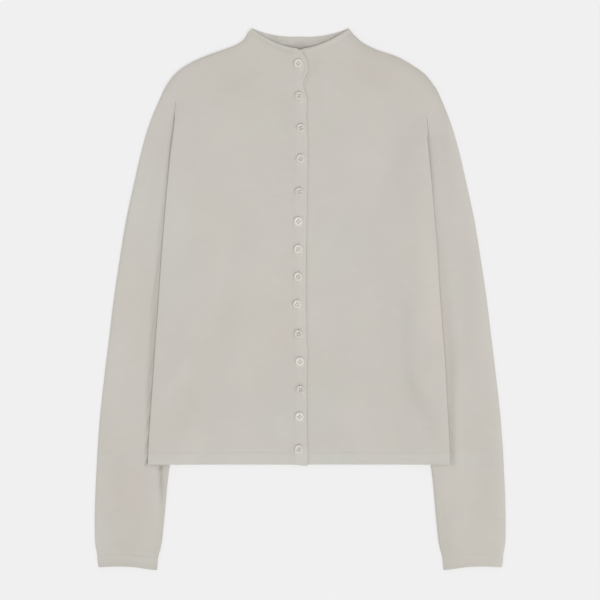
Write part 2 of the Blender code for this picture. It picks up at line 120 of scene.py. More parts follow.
# --- Shader writing ---

class Wire:
    """A shader socket that takes part in arithmetic."""

    def __init__(self, shader, socket):
        self.shader, self.socket = shader, socket

    def work(self, operation, *others):
        return self.shader.add("ShaderNodeMath", {"operation": operation}, self, *others)

    def __rsub__(self, other):
        return self.shader.add("ShaderNodeMath", {"operation": "SUBTRACT"}, other, self)

    __add__ = __radd__ = partialmethod(work, "ADD")
    __mul__ = __rmul__ = partialmethod(work, "MULTIPLY")
    __sub__ = partialmethod(work, "SUBTRACT")
    __truediv__ = partialmethod(work, "DIVIDE")
    sine = partialmethod(work, "SINE")
    absolute = partialmethod(work, "ABSOLUTE")
    fraction = partialmethod(work, "FRACT")
    power = partialmethod(work, "POWER")


class Shader:
    """Builds one material round its Principled shader."""

    def __init__(self, name):
        self.material = bpy.data.materials.new(name)
        self.material.use_nodes = True
        self.tree = self.material.node_tree
        self.surface = self.tree.nodes["Principled BSDF"]

    def add(self, kind, options=None, *values, output=0, **named):
        """One node: its options are set first, then the values or links of its sockets."""
        node = self.tree.nodes.new(kind)
        for key, value in (options or {}).items():
            setattr(node, key, value)
        self.feed(node.inputs, dict(enumerate(values)) | named)
        return Wire(self, node.outputs[output])

    def feed(self, sockets, values):
        """Sets or links sockets, by number or by name; None leaves one as it is."""
        for key, value in values.items():
            socket = sockets[key.replace("_", " ") if isinstance(key, str) else key]
            if isinstance(value, Wire):
                self.tree.links.new(value.socket, socket)
            elif value is not None:
                socket.default_value = value

    def vector(self, operation, *values, **named):
        return self.add("ShaderNodeVectorMath", {"operation": operation}, *values, **named)

    def attribute(self, name):
        return self.add("ShaderNodeAttribute", {"attribute_name": name}, output=2)

    def coordinates(self, space="UV", shift=(0, 0, 0), stretch=(1, 1, 1)):
        place = self.add("ShaderNodeTexCoord", output=space)
        return self.add("ShaderNodeMapping", None, place, shift, None, stretch)

    def noise(self, scale, detail, **where):
        return self.add("ShaderNodeTexNoise", None, Vector=self.coordinates(**where), Scale=scale,
                        Detail=detail, Roughness=0.55)

    def mix(self, share, one, other):
        """Colour between two others."""
        return self.add("ShaderNodeMix", {"data_type": "RGBA"}, share, *[None] * 5, one, other, output=2)

    def finish(self, **values):
        self.feed(self.surface.inputs, values)
        return self.material


def tinted(colour, factors):
    return tuple(channel * factor for channel, factor in zip(colour, factors)) + (1.0,)


def knit_material(name, colour, wale, course):
    """Fine jersey: columns and rows of stitches, uneven yarn and soft fuzz; UVs are in metres."""
    shader = Shader(name)
    across = shader.add("ShaderNodeSeparateXYZ", None, shader.add("ShaderNodeTexCoord", output="UV"))
    along = Wire(shader, across.socket.node.outputs[1])
    column = ((across / wale).fraction() - 0.5).absolute()
    rows = ((along / course + column * 0.8) * (2 * math.pi)).sine() * 0.5 + 0.5
    legs = 1.0 - (column * 4.0 - 1.0).absolute().power(2.0)
    stitch = legs * (rows * 0.5 + 0.5)
    fuzz = shader.noise(2400.0, 2.0)
    streak = shader.noise(1.0, 4.0, stretch=(22.0, 330.0, 1.0))
    slub = shader.noise(1.0, 3.0, stretch=(60.0, 150.0, 1.0))
    cloud = shader.noise(17.0, 4.0)
    blush = shader.noise(11.0, 3.0, shift=(3.0, 1.0, 0.0))
    height = stitch * 0.7 + fuzz * 0.45 + streak * 0.3
    bump = shader.add("ShaderNodeBump", None, Height=height, Strength=0.7, Distance=0.22 * MM)
    # The stitch term also paints the grooves between stitches slightly darker (painted shade); the other
    # terms are uneven yarn.
    tone = (0.985 + stitch * 0.03 + (streak - 0.5) * 0.034 + (slub - 0.5) * 0.036
            + (cloud - 0.5) * 0.07 + (fuzz - 0.5) * 0.05)
    base = shader.mix(blush, tinted(colour, (0.982, 1.008, 0.995)), tinted(colour, (1.018, 0.992, 1.0)))
    # Painted shading darkens the colour, a little warmer in the shade, and lightens it where below zero;
    # warmth tints it.
    for layer, loss in (("painted_shading", (-0.87, -0.91, -1.0)), ("warmth", (0.0, -0.7, -1.0))):
        kept = shader.vector("MULTIPLY_ADD", shader.attribute(layer), loss, (1.0, 1.0, 1.0))
        base = shader.vector("MULTIPLY", base, kept)
    return shader.finish(Base_Color=shader.vector("SCALE", base, Scale=tone), Normal=bump,
                         Roughness=0.86 + (fuzz - 0.5) * 0.12, Specular_IOR_Level=0.2, Sheen_Weight=0.16,
                         Sheen_Roughness=0.55)


def thread_material(name, colour):
    shader = Shader(name)
    twist = shader.noise(1800.0, 2.0, space="Object")
    bump = shader.add("ShaderNodeBump", None, Height=twist, Strength=0.5, Distance=0.1 * MM)
    tone = shader.vector("SCALE", tuple(colour), Scale=0.9 + twist * 0.18)
    return shader.finish(Base_Color=tone, Normal=bump, Roughness=0.75, Specular_IOR_Level=0.3)


def pearl_material(name, colour, shift):
    """Pearl button: clouded, faintly banded, with a soft gloss."""
    shader = Shader(name)
    place = shader.coordinates("Object", shift)
    cloud = shader.add("ShaderNodeTexNoise", None, Vector=place, Scale=150.0, Detail=3.0, Distortion=1.6)
    band = shader.add("ShaderNodeTexWave", None, Vector=place, Scale=230.0, Distortion=9.0, Detail=2.0,
                      output=1)
    tone = shader.mix(cloud * 0.6 + band * 0.4, tinted(colour, (0.86, 0.85, 0.84)),
                      tinted(colour, (1.14, 1.15, 1.17)))
    return shader.finish(Base_Color=tone, Roughness=0.24 + cloud * 0.16, Coat_Weight=0.3,
                         Coat_Roughness=0.14)


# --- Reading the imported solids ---

# Least upward share of an upper face's normal, on flat pieces and on sleeves and cuffs
FLAT_UPPER, ROUND_UPPER = 0.3, 0.12
LAY_STEP = 3.0 * MM


def place_array(points):
    return np.array([(point[0], point[1]) for point in points])


@cache
class Solid:
    """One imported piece, read from above: its upper face's outline and its heights."""

    def __init__(self, node):
        bm = bmesh.new()
        bm.from_mesh(frame["nodes"][node].data)
        bmesh.ops.remove_doubles(bm, verts=bm.verts, dist=SAME)
        self.tree = BVHTree.FromBMesh(bm)
        self.low, self.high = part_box(node)
        self.size = [self.high[k] - self.low[k] for k in (0, 1)]
        flattest = ROUND_UPPER if "sleeve" in node or "cuff" in node else FLAT_UPPER
        upper = {face for face in bm.faces if face.normal.z > flattest
                 and self.tree.ray_cast(face.calc_center_median() + UP * 10 * SAME, UP)[0] is None}
        beside = {}
        for edge in bm.edges:
            if sum(face in upper for face in edge.link_faces) == 1:
                one, other = edge.verts
                beside.setdefault(one, []).append(other)
                beside.setdefault(other, []).append(one)
        start = next(iter(beside))
        loop, before, here = [start], None, start
        while True:
            onward = next(vert for vert in beside[here] if vert is not before)
            if onward is start:
                break
            loop.append(onward)
            before, here = here, onward
        self.rim = [vert.co.xy for vert in loop]
        bm.free()


class Lay:
    """How high the upper faces of pieces that are sewn together lie, evened out over their seams."""

    def __init__(self, nodes, rounds):
        solids = [Solid(node) for node in nodes]
        self.x0, self.y0 = (min(solid.low[k] for solid in solids) - 4 * LAY_STEP for k in (0, 1))
        rows = math.ceil((max(solid.high.y for solid in solids) - self.y0) / LAY_STEP) + 5
        columns = math.ceil((max(solid.high.x for solid in solids) - self.x0) / LAY_STEP) + 5
        height, filled = np.zeros((rows, columns)), np.zeros((rows, columns))
        for solid in solids:
            for row, column in np.ndindex(rows, columns):
                x, y = self.x0 + column * LAY_STEP, self.y0 + row * LAY_STEP
                if solid.low.x < x < solid.high.x and solid.low.y < y < solid.high.y:
                    hit = solid.tree.ray_cast(Vector((x, y, 1)), DOWN)[0]
                    if hit is not None and hit.z > height[row, column]:
                        height[row, column], filled[row, column] = hit.z, 1.0
        for _ in range(rounds):
            weight, evened = self.spread(filled), self.spread(height * filled)
            filled = (weight > 1e-9).astype(float)
            height = np.where(weight > 1e-9, evened / np.maximum(weight, 1e-9), 0.0)
        self.height = height

    @staticmethod
    def spread(grid):
        """Each value shared with its neighbours, 1-2-1 along both directions."""
        for axis in (0, 1):
            grid = np.apply_along_axis(np.convolve, axis, grid, (0.25, 0.5, 0.25), "same")
        return grid

    def at(self, places):
        """Heights at an array of places in plan."""
        rows, columns = self.height.shape
        across = np.clip((places[:, 0] - self.x0) / LAY_STEP, 0, columns - 1.001)
        along = np.clip((places[:, 1] - self.y0) / LAY_STEP, 0, rows - 1.001)
        i, j = across.astype(int), along.astype(int)
        s, t = across - i, along - j
        grid = self.height
        return ((grid[j, i] * (1 - s) + grid[j, i + 1] * s) * (1 - t)
                + (grid[j + 1, i] * (1 - s) + grid[j + 1, i + 1] * s) * t)


# --- Plan of each piece ---

# Corners of each piece in plan (mm, X outward on its side): lower side, then back along the upper side.
# The right and the left piece share a row that doesn't name its side.
PLAN_CORNERS = {
    "front": ((8, -202), (202, -202), (70, 350), (8, 322)),
    "hem": ((8, -218), (204, -218), (202, -203), (8, -203)),
    "neck_band": ((8, 322), (70, 350), (63, 357), (8, 330)),
    "right_sleeve": ((268, -338), (187, -341), (164, 261), (179, 278)),
    "left_sleeve": ((268, -338), (187, -341), (169, 237), (181, 275)),
    "cuff": ((266, -354), (189, -357), (187, -341), (268, -338)),
    "right_front_band": ((8, -218), (-9, -220), (-2, 328), (8, 331)),
    "left_front_band": ((8, -218), (-8, -218), (-8, 326), (8, 331)),
    "back": ((-203, -202), (198, -202), (70, 350), (-70, 350)),
    "hem_back": ((-204, -218), (199, -218), (198, -203), (-203, -203)),
    "neck_band_back": ((-70, 350), (70, 350), (63, 357), (-63, 357)),
}
CORNER_TURN = math.radians(30)
POINT_SPACING = 2.5 * MM  # least distance between the points that a route keeps
ROUTE_SAMPLES = 240


def curved(points):
    """Ten samples for each span of a curve through the points, however unevenly they are spaced."""
    steps = np.diff(points, axis=0)
    spans = np.hypot(*steps.T)[:, None]
    slopes = steps / spans
    tangents = np.concatenate([slopes[:1], slopes])
    tangents[1:-1] = (slopes[:-1] * spans[1:] + slopes[1:] * spans[:-1]) / (spans[1:] + spans[:-1])
    t = np.arange(0, 1, 0.1)[None, :, None]
    start, end = points[:-1, None], points[1:, None]
    leave, arrive = (tangents[:-1] * spans)[:, None], (tangents[1:] * spans)[:, None]
    spots = (start * (1 + 2 * t) * (1 - t) ** 2 + leave * t * (1 - t) ** 2
             + end * t * t * (3 - 2 * t) + arrive * t * t * (t - 1))
    return spots.reshape(-1, 2)


def lengths_along(route):
    return np.concatenate([[0], np.cumsum(np.hypot(*np.diff(route, axis=0).T))])


def read_route(route, marks, at):
    """Places on a route, read between its points, each of which has its own mark."""
    return np.stack([np.interp(at, marks, route[:, k]) for k in (0, 1)], 1)


def smooth_route(points):
    """Even samples along a route that is curved between its sharp corners."""
    kept = [points[0]]
    for point in points[1:-1]:
        if min((point - kept[-1]).length, (point - points[-1]).length) > POINT_SPACING:
            kept.append(point)
    kept.append(points[-1])
    runs, run = [], [kept[0]]
    for before, here, after in zip(kept, kept[1:], kept[2:]):
        run.append(here)
        if abs((here - before).angle_signed(after - here)) > CORNER_TURN:
            runs.append(run)
            run = [here]
    runs.append(run + [kept[-1]])
    dense = np.concatenate([curved(place_array(run)) for run in runs] + [place_array(kept[-1:])])
    run = lengths_along(dense)
    return read_route(dense, run, np.linspace(0, run[-1], ROUTE_SAMPLES + 1)), run[-1]


@cache
class Plan:
    """A piece in plan, spanned between its four sides: u across, v from its lower to its upper side."""

    def __init__(self, node):
        rim = Solid(node).rim
        count = len(rim)
        side = -1 if "right" in node else 1
        kind = node if node in PLAN_CORNERS else node.replace("right", "").replace("left", "").strip("_")
        hints = [Vector((side * x * MM, y * MM)) for x, y in PLAN_CORNERS[kind]]
        picks = [min(range(count), key=lambda k: (rim[k] - hint).length) for hint in hints]

        def stretch(start, end):
            """The rim from one corner to the next, the way that meets no other corner."""
            for way in (1, -1):
                steps = [(picks[start] + way * k) % count for k in range(count)]
                steps = steps[:steps.index(picks[end]) + 1]
                if not any(picks[k] in steps for k in range(4) if k not in (start, end)):
                    return smooth_route([rim[k] for k in steps])
            raise ValueError(f"{node}: no free way between its corners")

        (self.lower, self.width), (self.outer, self.outer_length) = stretch(0, 1), stretch(1, 2)
        (self.upper, upper_width), (self.inner, self.length) = stretch(3, 2), stretch(0, 3)
        self.strip = max(self.length, self.outer_length), max(self.width, upper_width)  # cut of a band

    def at(self, u, v):
        """Places in plan for arrays of u and v between 0 and 1."""
        def read(route, share):
            return read_route(route, range(ROUTE_SAMPLES + 1), share * ROUTE_SAMPLES)

        s, t = u[:, None], v[:, None]
        a, b, c, d = self.lower[0], self.lower[-1], self.upper[-1], self.upper[0]
        return ((1 - t) * read(self.lower, u) + t * read(self.upper, u)
                + (1 - s) * read(self.inner, v) + s * read(self.outer, v)
                - (1 - s) * (1 - t) * a - s * (1 - t) * b - s * t * c - (1 - s) * t * d)


def smooth(low, high, value):
    share = np.clip((value - low) / (high - low), 0.0, 1.0)
    return share * share * (3 - 2 * share)


def swell(off, width):
    """1 where off is nothing, fading to 0 on both sides over about two widths."""
    return np.exp(-(off / width) ** 2)


def rounding(distance, width):
    """1 at an edge and 0 beyond the width, along a quarter circle."""
    return 1.0 - np.sqrt(1.0 - np.clip(1.0 - distance / width, 0.0, 1.0) ** 2)


def distances(route, places):
    """Distance in plan from each place to the nearest point of a route."""
    quarters = (0, 0.25, 0.5, 0.75)
    dense = np.concatenate([route[:-1] + (route[1:] - route[:-1]) * share for share in quarters])
    tree = kdtree.KDTree(len(dense))
    for index, (x, y) in enumerate(dense):
        tree.insert((x, y, 0), index)
    tree.balance()
    return np.array([tree.find((x, y, 0))[2] for x, y in places])


# --- Creases, waviness and painted shade ---

# From, to (mm), half width (mm), height (mm, below zero for a trough), bend (mm)
FRONT_CREASES = [
    (-84, 8, -128, -108, 17, -0.9, 4), (-122, -92, -184, -196, 15, -1, -5),
    (-140, -70, -192, -150, 9, 0.7, 3), (-60, -20, -92, -120, 22, 0.6, -6),
    (139, -2, 146, -118, 10, -1.3, 5), (141, -100, 184, -196, 11, -1.1, -6),
    (128, 70, 138, -20, 15, -0.5, 4), (166, 96, 180, -60, 10, 0.8, -3),
    (16, 312, 34, 292, 5, -0.5, 1), (22, 302, 60, 262, 8, 0.5, 2),
    (12, 286, 30, 262, 5, -0.45, -1), (-22, 268, -14, 205, 8, -0.6, 2),
    (-40, 318, -92, 262, 14, -0.25, 5), (-104, 314, -70, 258, 18, -0.25, -5),
    (92, 318, 62, 268, 16, -0.25, 5), (46, 300, 120, 262, 13, 0.5, 4),
    (150, 190, 128, 120, 14, -0.55, -5), (-160, 180, -150, 60, 12, 0.5, 4),
    (-30, -150, -14, -196, 9, 0.5, 2), (60, -130, 84, -200, 16, 0.55, -4),
    (-70, -160, -96, -206, 12, 0.6, 3), (24, 60, 40, -90, 20, 0.4, 6),
    (-44, 120, -30, 10, 20, 0.45, -5), (100, 210, 110, 110, 22, 0.4, 6),
]
SLEEVE_CREASES = [
    (-184, -190, -181.5, -262, 3.2, -1.3, 0.6), (-196, -206, -190, -300, 8, 0.6, -2),
    (-236, -180, -240, -300, 14, -0.5, 5), (-214, -250, -226, -330, 11, -0.5, -3),
    (-214, 140, -230, 20, 10, 0.6, 4), (-204, 60, -216, -80, 9, -0.6, -3),
    (-232, -20, -246, -150, 12, 0.5, 4), (-182, 225, -196, 120, 6, -0.5, 2),
    (186, 216, 200, 120, 5.5, -0.9, -2), (196, 200, 208, 90, 6, 0.5, 2),
    (214, 70, 222, -70, 11, -0.6, -4), (236, 30, 250, -120, 11, 0.5, 3),
    (206, -120, 212, -240, 11, 0.6, 4), (236, -170, 244, -290, 13, -0.6, -4),
    (190, -270, 200, -345, 6, -0.7, 2), (222, -230, 216, -330, 12, 0.5, 3),
]
# Painted shade in the troughs, by their depth
CREASE_PAINTED_SHADE = 28.0  # share of darkening for each metre of a trough's depth
# Waves for each metre across and along, share of the whole height
RIPPLES = ((17, 11, 1.0), (48, 34, 0.35), (130, 110, 0.16))
BODY_RIPPLES, SLEEVE_RIPPLES, HEM_RIPPLES = 7.0, 31.0, 5.0  # where each starts in the noise

# Painted shade of soft areas on the fronts, painted light where the share is below zero: centre, half sizes
# (mm), turn (degrees), share of darkening
PAINTED_SHADES = [
    (-92, 296, 70, 38, 20, 0.032), (96, 296, 76, 38, -20, 0.040), (-28, 262, 20, 32, 0, 0.025),
    (137, 140, 20, 58, 0, 0.025), (-152, -150, 44, 36, 30, 0.02), (148, -130, 16, 60, -10, 0.03),
    (174, 10, 12, 130, 6, -0.034), (144, -60, 9, 58, 5, 0.028), (163, -150, 8, 46, 22, 0.03),
    (0, 60, 60, 120, 0, -0.01), (0, -110, 210, 110, 0, 0.010), (11, 292, 3.5, 9, -20, 0.09),
    (22, 310, 9, 12, -30, 0.03), (61, -202, 5, 1.4, -3, 0.05), (145, -212, 14, 1.3, -2, 0.04),
    (-12, -205, 1.6, 9, -8, 0.05), (180, -216, 9, 1.6, -3, 0.10), (36, -214, 10, 1.2, 0, 0.03),
]
# The same for the sleeves and cuffs
SLEEVE_PAINTED_SHADES = [
    (-228, -260, 40, 95, 0, 0.032), (-236, -335, 36, 26, 0, 0.022), (-264, -346, 13, 13, 0, 0.03),
    (200, -340, 22, 20, 0, 0.03), (-183.6, -238, 2.2, 26, 2, 0.24), (-187, -219, 12, 2.2, 0, 0.10),
    (-183.4, -223, 3.0, 3.0, 0, 0.3),
]
# The same painted shade for the inside of the back's neck, where the fronts shade it
NECK_PAINTED_SHADES = [
    (31, 342.5, 26, 5, 21, 0.09), (-31, 343, 10, 4.5, -25, 0.11), (1, 333, 10, 5.5, 0, 0.20),
    (-13, 333.5, 10, 3, -22, 0.03),
]
# Softly tinted areas, warmer above zero and greyer below
WARMTHS = [
    (-92, 292, 80, 36, 18, 0.014), (100, 292, 84, 36, -18, 0.020), (-42, -20, 50, 90, 0, 0.020),
    (-120, 100, 30, 60, 0, 0.015), (174, 10, 14, 130, 6, 0.03), (144, -70, 10, 60, 5, -0.02),
    (-236, -250, 44, 120, 0, 0.016), (236, -250, 44, 110, 0, 0.014), (-226, 20, 22, 90, 0, 0.02),
    (0, -211, 300, 9, 0, -0.045), (-166, 70, 22, 76, 0, -0.03), (-206, 130, 26, 60, 0, -0.03),
    (-20, -160, 70, 34, 0, -0.02), (-128, -70, 16, 60, -20, 0.014), (-150, -140, 18, 40, -40, 0.015),
    (-262, -330, 20, 50, 0, -0.03), (60, 80, 40, 90, 0, -0.010), (-206, -345, 20, 16, 0, -0.02),
    (6, 342, 60, 9, 0, -0.02),
]
# Painted shade along the shoulders' outline, which faces away from the key light
SHOULDER_PAINTED_SHADES = {-1: (0.06, 5.0), 1: (0.08, 9.0)}  # along the outline: share of darkening, width (mm)
# Painted shadow cast by the lap's edge onto the cloth beside it
LAP_PAINTED_SHADOW, LAP_PAINTED_SHADOW_WIDTH = 0.055, 2.6 * MM  # on the cloth beside the upper band
# Width of a painted dark line beside an edge
PAINTED_LINE_WIDTH = 1.5 * MM
# Painted light on the raised buttonhole band, partly also its smoother knit
BAND_PAINTED_LIGHT_AND_TONE, BAND_LIGHT_FROM, BAND_LIGHT_TO = 0.022, -9.5 * MM, 3 * MM  # of the buttonhole band, by X
# Painted light round the buttons, softening their shadows
PUCKER_PAINTED_LIGHT = 0.06  # for each millimetre of a pucker's height
# Painted shade inside the back's neck, and painted light along the front edges over it
NECK_PAINTED_SHADE, NECK_PAINTED_LIGHT, NECK_LIGHT_WIDTH = 0.04, 0.16, 1.8 * MM  # inside, and along the front edges
CLOSURE_X, NECK_LIGHT_FROM, NECK_LIGHT_TO = 2 * MM, 6 * MM, 22 * MM  # the light grows beside the closure


def crease_heights(creases, places):
    """Sum of the soft troughs and ridges at each place, in metres."""
    total = np.zeros(len(places))
    for x0, y0, x1, y1, width, height, bend in creases:
        start, run = np.array((x0, y0)) * MM, np.array((x1 - x0, y1 - y0)) * MM
        length = float(np.hypot(*run))
        off = places - start
        along = off @ run / length ** 2
        away = (off[:, 0] * run[1] - off[:, 1] * run[0]) / length
        away -= bend * MM * np.sin(math.pi * np.clip(along, 0, 1))
        fade = smooth(-0.25, 0.35, along) * (1 - smooth(0.6, 1.25, along))
        total += height * MM * fade * swell(away, width * MM)
    return total


# Sum of soft areas: painted shade for the shade tables, a tint for WARMTHS
def soft_areas(places, areas):
    total = np.zeros(len(places))
    for x, y, half_x, half_y, turn, amount in areas:
        cosine, sine = math.cos(math.radians(turn)), math.sin(math.radians(turn))
        off = places - np.array((x, y)) * MM
        across = (off[:, 0] * cosine + off[:, 1] * sine) / (half_x * MM)
        along = (off[:, 1] * cosine - off[:, 0] * sine) / (half_y * MM)
        total += amount * np.exp(-across ** 2 - along ** 2)
    return total


def waviness(places, height, start):
    """The wandering unevenness of cloth that was smoothed by hand."""
    return height * np.array([sum(share * noise.noise((x * across, y * along, start))
                                  for across, along, share in RIPPLES) for x, y in places])


# --- Building cloth ---

MADE = {}
CLOSE = 0.15 * MM  # a piece reaches this far into the one it is sewn to
BAND_REACH = 0.25 * MM  # the same where a front meets its band
ROLLED = 0.85  # share of the wall that a free edge rounds off
EDGE_CALM = 20 * MM  # from a free edge of the body, where creases are at their full height
BACK_CELLS = 1.3  # size of the back's cells against the fronts'
AIR = 0.1 * MM  # least height of the fronts over the back
ARMPIT_LOW, ARMPIT_HIGH = 200 * MM, 275 * MM  # Y between which the gap beside the body begins


def mesh_of(name, bm):
    mesh = bpy.data.meshes.new(name)
    bm.to_mesh(mesh)
    bm.free()
    return mesh


def linked(name, data):
    """A new object in the scene."""
    obj = bpy.data.objects.new(name, data)
    bpy.context.scene.collection.objects.link(obj)
    return obj


def finished(name, bm, material, node=None, slot=None, sharp=60):
    """Links a finished mesh to the scene and binds it to the body."""
    mesh = mesh_of(name, bm)
    mesh.materials.append(material)
    mesh.shade_smooth()
    mesh.set_sharp_from_angle(angle=math.radians(sharp))
    obj = linked(name, mesh)
    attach(obj, BODY)
    if node:
        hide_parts(node)
    slot or SLOTS[node]
    return obj


def unit_grid(columns, rows):
    """A grid with its vertices' shares across and along."""
    bm = bmesh.new()
    bmesh.ops.create_grid(bm, x_segments=columns, y_segments=rows, size=0.5)
    shares = place_array([vert.co for vert in bm.verts]) + 0.5
    return bm, shares[:, 0].clip(0, 1), shares[:, 1].clip(0, 1)


def set_cloth_layers(bm, painted_shades, grain):
    """Stores painted shading (shade, and light where below zero) and warmth at each vertex, and UVs in
    metres, turned to the cloth's grain.
    """
    warmths = soft_areas(place_array([vert.co for vert in bm.verts]), WARMTHS)
    for name, values in (("painted_shading", painted_shades), ("warmth", warmths)):
        layer = bm.verts.layers.float.new(name)
        for vert, value in zip(bm.verts, values):
            vert[layer] = float(value)
    uv = bm.loops.layers.uv.new("cloth")
    cosine, sine = math.cos(grain), math.sin(grain)
    for face in bm.faces:
        for loop in face.loops:
            x, y = loop.vert.co.xy
            loop[uv].uv = (x * cosine + y * sine, y * cosine - x * sine)


def lay_sheet(node, material, cells, heights, painted_shades, reach, flat, rests_on):
    """Cloth between its own upper and lower heights, closed at its edges.

    reach lengthens the sheet at its lower, outer, upper and inner side, to meet what it is sewn to."""
    plan, (top, under) = Plan(node), heights
    bm, u, v = unit_grid(*cells)
    places = plan.at(u, v)
    for amount, towards, edge in zip(reach, ((0, -1), (1, 0), (0, 1), (-1, 0)),
                                     (v < SAME, u > 1 - SAME, v > 1 - SAME, u < SAME)):
        if amount:
            way = places - plan.at(u - 0.01 * towards[0], v - 0.01 * towards[1])
            way /= np.maximum(np.hypot(*way.T), 1e-9)[:, None]
            places = places + way * amount * edge[:, None]
    for vert, (x, y) in zip(bm.verts, places):
        vert.co = (x, y, 0)
    bm.normal_update()
    if sum(face.normal.z for face in bm.faces) < 0:
        bmesh.ops.reverse_faces(bm, faces=bm.faces)
    # The piece's painted shading, kept at its vertices
    set_cloth_layers(bm, painted_shades(places), 0.0)
    area = sum(face.calc_area() for face in bm.faces)
    upper, lower = top(places), under(places)
    mark = bm.verts.layers.int.new("place")
    for index, vert in enumerate(bm.verts):
        vert[mark] = index
    made = bmesh.ops.extrude_face_region(bm, geom=bm.faces[:])
    raised = {item for item in made["geom"] if isinstance(item, bmesh.types.BMVert)}
    for vert in bm.verts:
        vert.co.z = upper[vert[mark]] if vert in raised else lower[vert[mark]]
    bm.verts.layers.int.remove(mark)
    bmesh.ops.recalc_face_normals(bm, faces=bm.faces)
    MADE[node] = (finished(f"cloth_{node}", bm, material, node), flat, area, rests_on)


@cache
class Layout:
    """Heights and edges of the laid cloth, shared by the operators."""

    def __init__(self):
        self.fronts = {side: Lay([f"{word}_front", f"hem_{word}", f"neck_band_{word}",
                                  f"{word}_front_band"], 9) for side, word in SIDES}
        self.back = Lay(["back", "hem_back", "neck_band_back"], 9)
        self.sleeves = {side: Lay([f"{word}_sleeve", f"cuff_{word}"], 5) for side, word in SIDES}
        self.side_edges, self.free_edges, self.shoulders = {}, {}, {}
        for side, word in SIDES:
            outer = Plan(f"{word}_front").outer
            elsewhere = (outer[:, 1] < ARMPIT_LOW) | (outer[:, 1] > ARMPIT_HIGH)
            notch = np.argmin(np.abs(outer[:, 0]) + elsewhere)
            peak = notch + np.argmax(np.abs(outer[notch:, 0]))
            self.side_edges[side] = outer[:notch + 1]
            self.free_edges[side] = np.concatenate([outer[:notch - 1], outer[peak + 1:]])
            self.shoulders[side] = outer[peak + 1:]


def front_heights(side, cloth, node=None, edge=None):
    """Upper and lower heights of what belongs to one front, free edges rounded off.

    A band's own free edge and its relief come in with its node and that edge."""
    layout = Layout()
    lay, back = layout.fronts[side], layout.back

    def level(places):
        away = distances(layout.free_edges[side], places)
        inner = smooth(0, EDGE_CALM, away)
        height = lay.at(places)
        uneven = crease_heights(FRONT_CREASES, places) + waviness(places, cloth.wave, BODY_RIPPLES)
        height += uneven * inner
        return np.maximum(height, back.at(places) + cloth.wall + AIR), away

    def top(places):
        height, away = level(places)
        if edge is None:
            return height - rounding(away, cloth.roll) * ROLLED * cloth.wall
        own = distances(edge, places)
        rolled = rounding(np.minimum(away, own), cloth.roll) * ROLLED * cloth.wall
        return height - rolled + edge_relief(node, places, own)

    def under(places):
        return level(places)[0] - cloth.wall

    return top, under


def front_painted_shades(side, line=None, line_away=0.0, line_painted_shade=0.0):
    """Painted shading of one front: shade of soft areas, troughs and the shoulder's rim; on the right,
    painted light on the buttonhole band and round the buttons; on the left, a painted shadow beside the lap;
    and a painted dark line beside an edge if one is given.
    """
    shoulder, lap = Layout().shoulders[side], Plan("right_front_band").outer
    share, width = SHOULDER_PAINTED_SHADES[side]

    def painted_shades(places):
        total = soft_areas(places, PAINTED_SHADES) - crease_heights(FRONT_CREASES, places) * CREASE_PAINTED_SHADE
        total += share * swell(distances(shoulder, places), width * MM)
        if side < 0:
            total -= BAND_PAINTED_LIGHT_AND_TONE * smooth(BAND_LIGHT_FROM, BAND_LIGHT_TO, places[:, 0])
            total -= PUCKER_PAINTED_LIGHT * button_pucker(places) / MM
        else:
            beyond = places[:, 0] - np.interp(places[:, 1], lap[:, 1], lap[:, 0])
            total += LAP_PAINTED_SHADOW * swell(np.clip(beyond, 0, None), LAP_PAINTED_SHADOW_WIDTH)
        if line is not None:
            total += line_painted_shade * swell(distances(line, places) - line_away, PAINTED_LINE_WIDTH)
        return total
    return painted_shades


def back_heights(cloth, node="back", edge=None):
    """Upper and lower heights of the back or one of its edges; free edges round up from below."""
    layout = Layout()
    edges = np.concatenate([*layout.free_edges.values()] + ([] if edge is None else [edge]))

    def top(places):
        height = layout.back.at(places)
        return height if edge is None else height + edge_relief(node, places, distances(edge, places))

    def under(places):
        away = distances(edges, places)
        return layout.back.at(places) - cloth.wall * (1 - rounding(away, cloth.roll) * ROLLED)

    return top, under


def back_painted_shades():
    """Painted shading of the back: the inside of the neck is painted darkest behind the closure, with painted
    light along the front edges over it.
    """
    line = np.concatenate([Plan(f"neck_band_{word}").upper for _, word in SIDES])

    def painted_shades(places):
        off_middle = smooth(NECK_LIGHT_FROM, NECK_LIGHT_TO, np.abs(places[:, 0] - CLOSURE_X))
        light = NECK_PAINTED_LIGHT * off_middle * swell(distances(line, places), NECK_LIGHT_WIDTH)
        return NECK_PAINTED_SHADE - light + soft_areas(places, NECK_PAINTED_SHADES)
    return painted_shades


class CARDIGAN_OT_body(bpy.types.Operator):
    """Lays out the back and the two fronts"""
    bl_idname = "cardigan.body"
    bl_label = "Back and Fronts"

    def execute(self, context):
        cloth, _, _ = settings()
        knit = knit_material("jersey", cloth.colour, cloth.wale, cloth.course)
        for side, word in SIDES:
            node = f"{word}_front"
            plan = Plan(node)
            lay_sheet(node, knit, (round(plan.width / cloth.cell), round(plan.outer_length / cloth.cell)),
                      front_heights(side, cloth), front_painted_shades(side), (CLOSE, 0, CLOSE, BAND_REACH),
                      Solid(node).size, ["back"])
        plan, cell = Plan("back"), BACK_CELLS * cloth.cell
        lay_sheet("back", knit, (round(plan.width / cell), round(plan.length / cell)), back_heights(cloth),
                  back_painted_shades(), (CLOSE, 0, CLOSE, 0), Solid("back").size, ["right_sleeve", "left_sleeve"])
        return {"FINISHED"}


# --- Sleeves and cuffs ---

